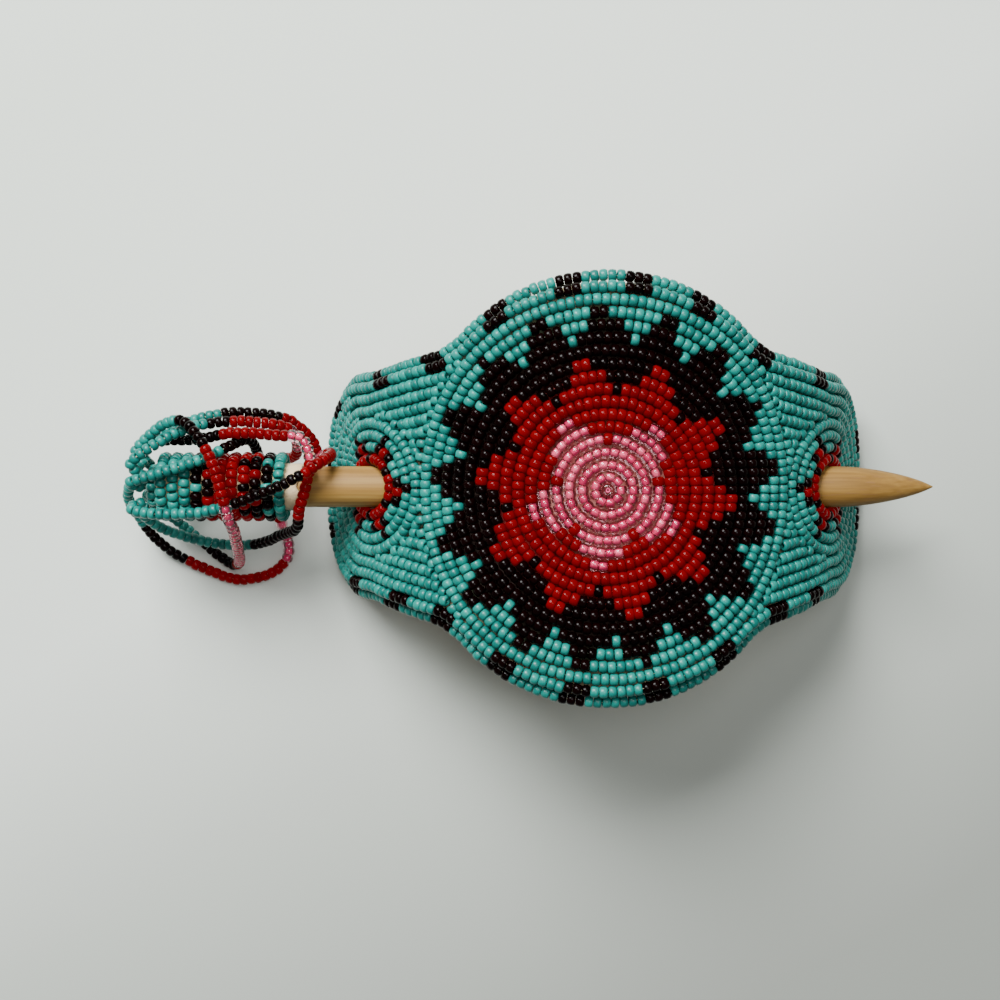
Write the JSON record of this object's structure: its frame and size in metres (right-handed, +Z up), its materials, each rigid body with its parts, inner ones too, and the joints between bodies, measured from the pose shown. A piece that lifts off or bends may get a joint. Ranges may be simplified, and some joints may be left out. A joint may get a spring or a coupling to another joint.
{
  "type": "hair stick barrette",
  "caption": "Arched oval panel of sewn seed beads on leather with two end holes, held on gathered hair by a pointed wooden stick with a beaded cap and a fringe of beaded loops.",
  "frame": {"origin": "on the table, halfway along the stick with its beaded cap, under the middle of the panel's width", "axes": "+X along the stick towards its point, +Y across the stick up the panel, +Z up from the table"},
  "size_m": [0.1599, 0.0798, 0.0434],
  "materials": {
    "turquoise_glass": "opaque glass seed beads, glossy",
    "dark_glass": "very dark oxblood glass seed beads, glossy",
    "ruby_glass": "transparent ruby glass seed beads, read as solid red, glossy",
    "pink_glass": "clear glass seed beads lined with pink, glossy",
    "leather": "soft tanned hide, matt",
    "sleeve_leather": "thin pale hide, matt",
    "stiffener": "thin flexible sheet",
    "cloth": "cream felt-like cloth that takes the stitches",
    "stick_wood": "pale birch dowel, sanded and lightly sealed"
  },
  "bodies": {
    "panel": {"leather_backing": "leather", "stiffener": "stiffener", "bead_cloth": "cloth", "centre_bead": "pink_glass", "rosette_row_01": "pink_glass", "rosette_row_02": "pink_glass", "rosette_row_03": "pink_glass", "rosette_row_04": "pink_glass", "rosette_row_05": "pink_glass", "rosette_row_06": "ruby_glass", "rosette_row_07": "ruby_glass", "rosette_row_08": "ruby_glass", "rosette_row_09": "ruby_glass", "rosette_row_10": "ruby_glass", "rosette_row_11": "dark_glass", "rosette_row_12": "turquoise_glass", "rosette_row_13": "turquoise_glass", "rosette_row_14": "turquoise_glass", "rosette_row_15": "turquoise_glass", "left_hole_row_1": "ruby_glass", "left_hole_row_2": "ruby_glass", "left_hole_row_3": "turquoise_glass", "left_hole_row_4": "turquoise_glass", "right_hole_row_1": "ruby_glass", "right_hole_row_2": "ruby_glass", "right_hole_row_3": "turquoise_glass", "right_hole_row_4": "turquoise_glass", "left_wrap_row_1": "turquoise_glass", "left_wrap_row_2": "turquoise_glass", "right_wrap_row_1": "turquoise_glass", "right_wrap_row_2": "turquoise_glass", "left_fill_rows": "turquoise_glass", "right_fill_rows": "turquoise_glass", "face_edge_row": "turquoise_glass", "rolled_edge_row": "turquoise_glass"},
    "stick": {"stick": "stick_wood", "cap_sleeve": "sleeve_leather", "cap_end_row_outer": "turquoise_glass", "cap_end_row_inner": "turquoise_glass", "cap_round_01": "turquoise_glass", "cap_round_02": "turquoise_glass", "cap_round_03": "dark_glass", "cap_round_04": "dark_glass", "cap_round_05": "ruby_glass", "cap_round_06": "ruby_glass", "cap_round_07": "ruby_glass", "cap_round_08": "ruby_glass", "cap_round_09": "dark_glass", "cap_round_10": "dark_glass", "cap_round_11": "turquoise_glass", "fringe_loop_1": "ruby_glass", "fringe_loop_2": "ruby_glass", "fringe_loop_3": "ruby_glass", "fringe_loop_4": "ruby_glass", "fringe_loop_5": "ruby_glass"}
  },
  "joints": [
    {"name": "stick_slide", "type": "slide", "parent": "panel", "child": "stick", "axis": [-1, 0, 0], "range_m": [0, 0.12]}
  ]
}
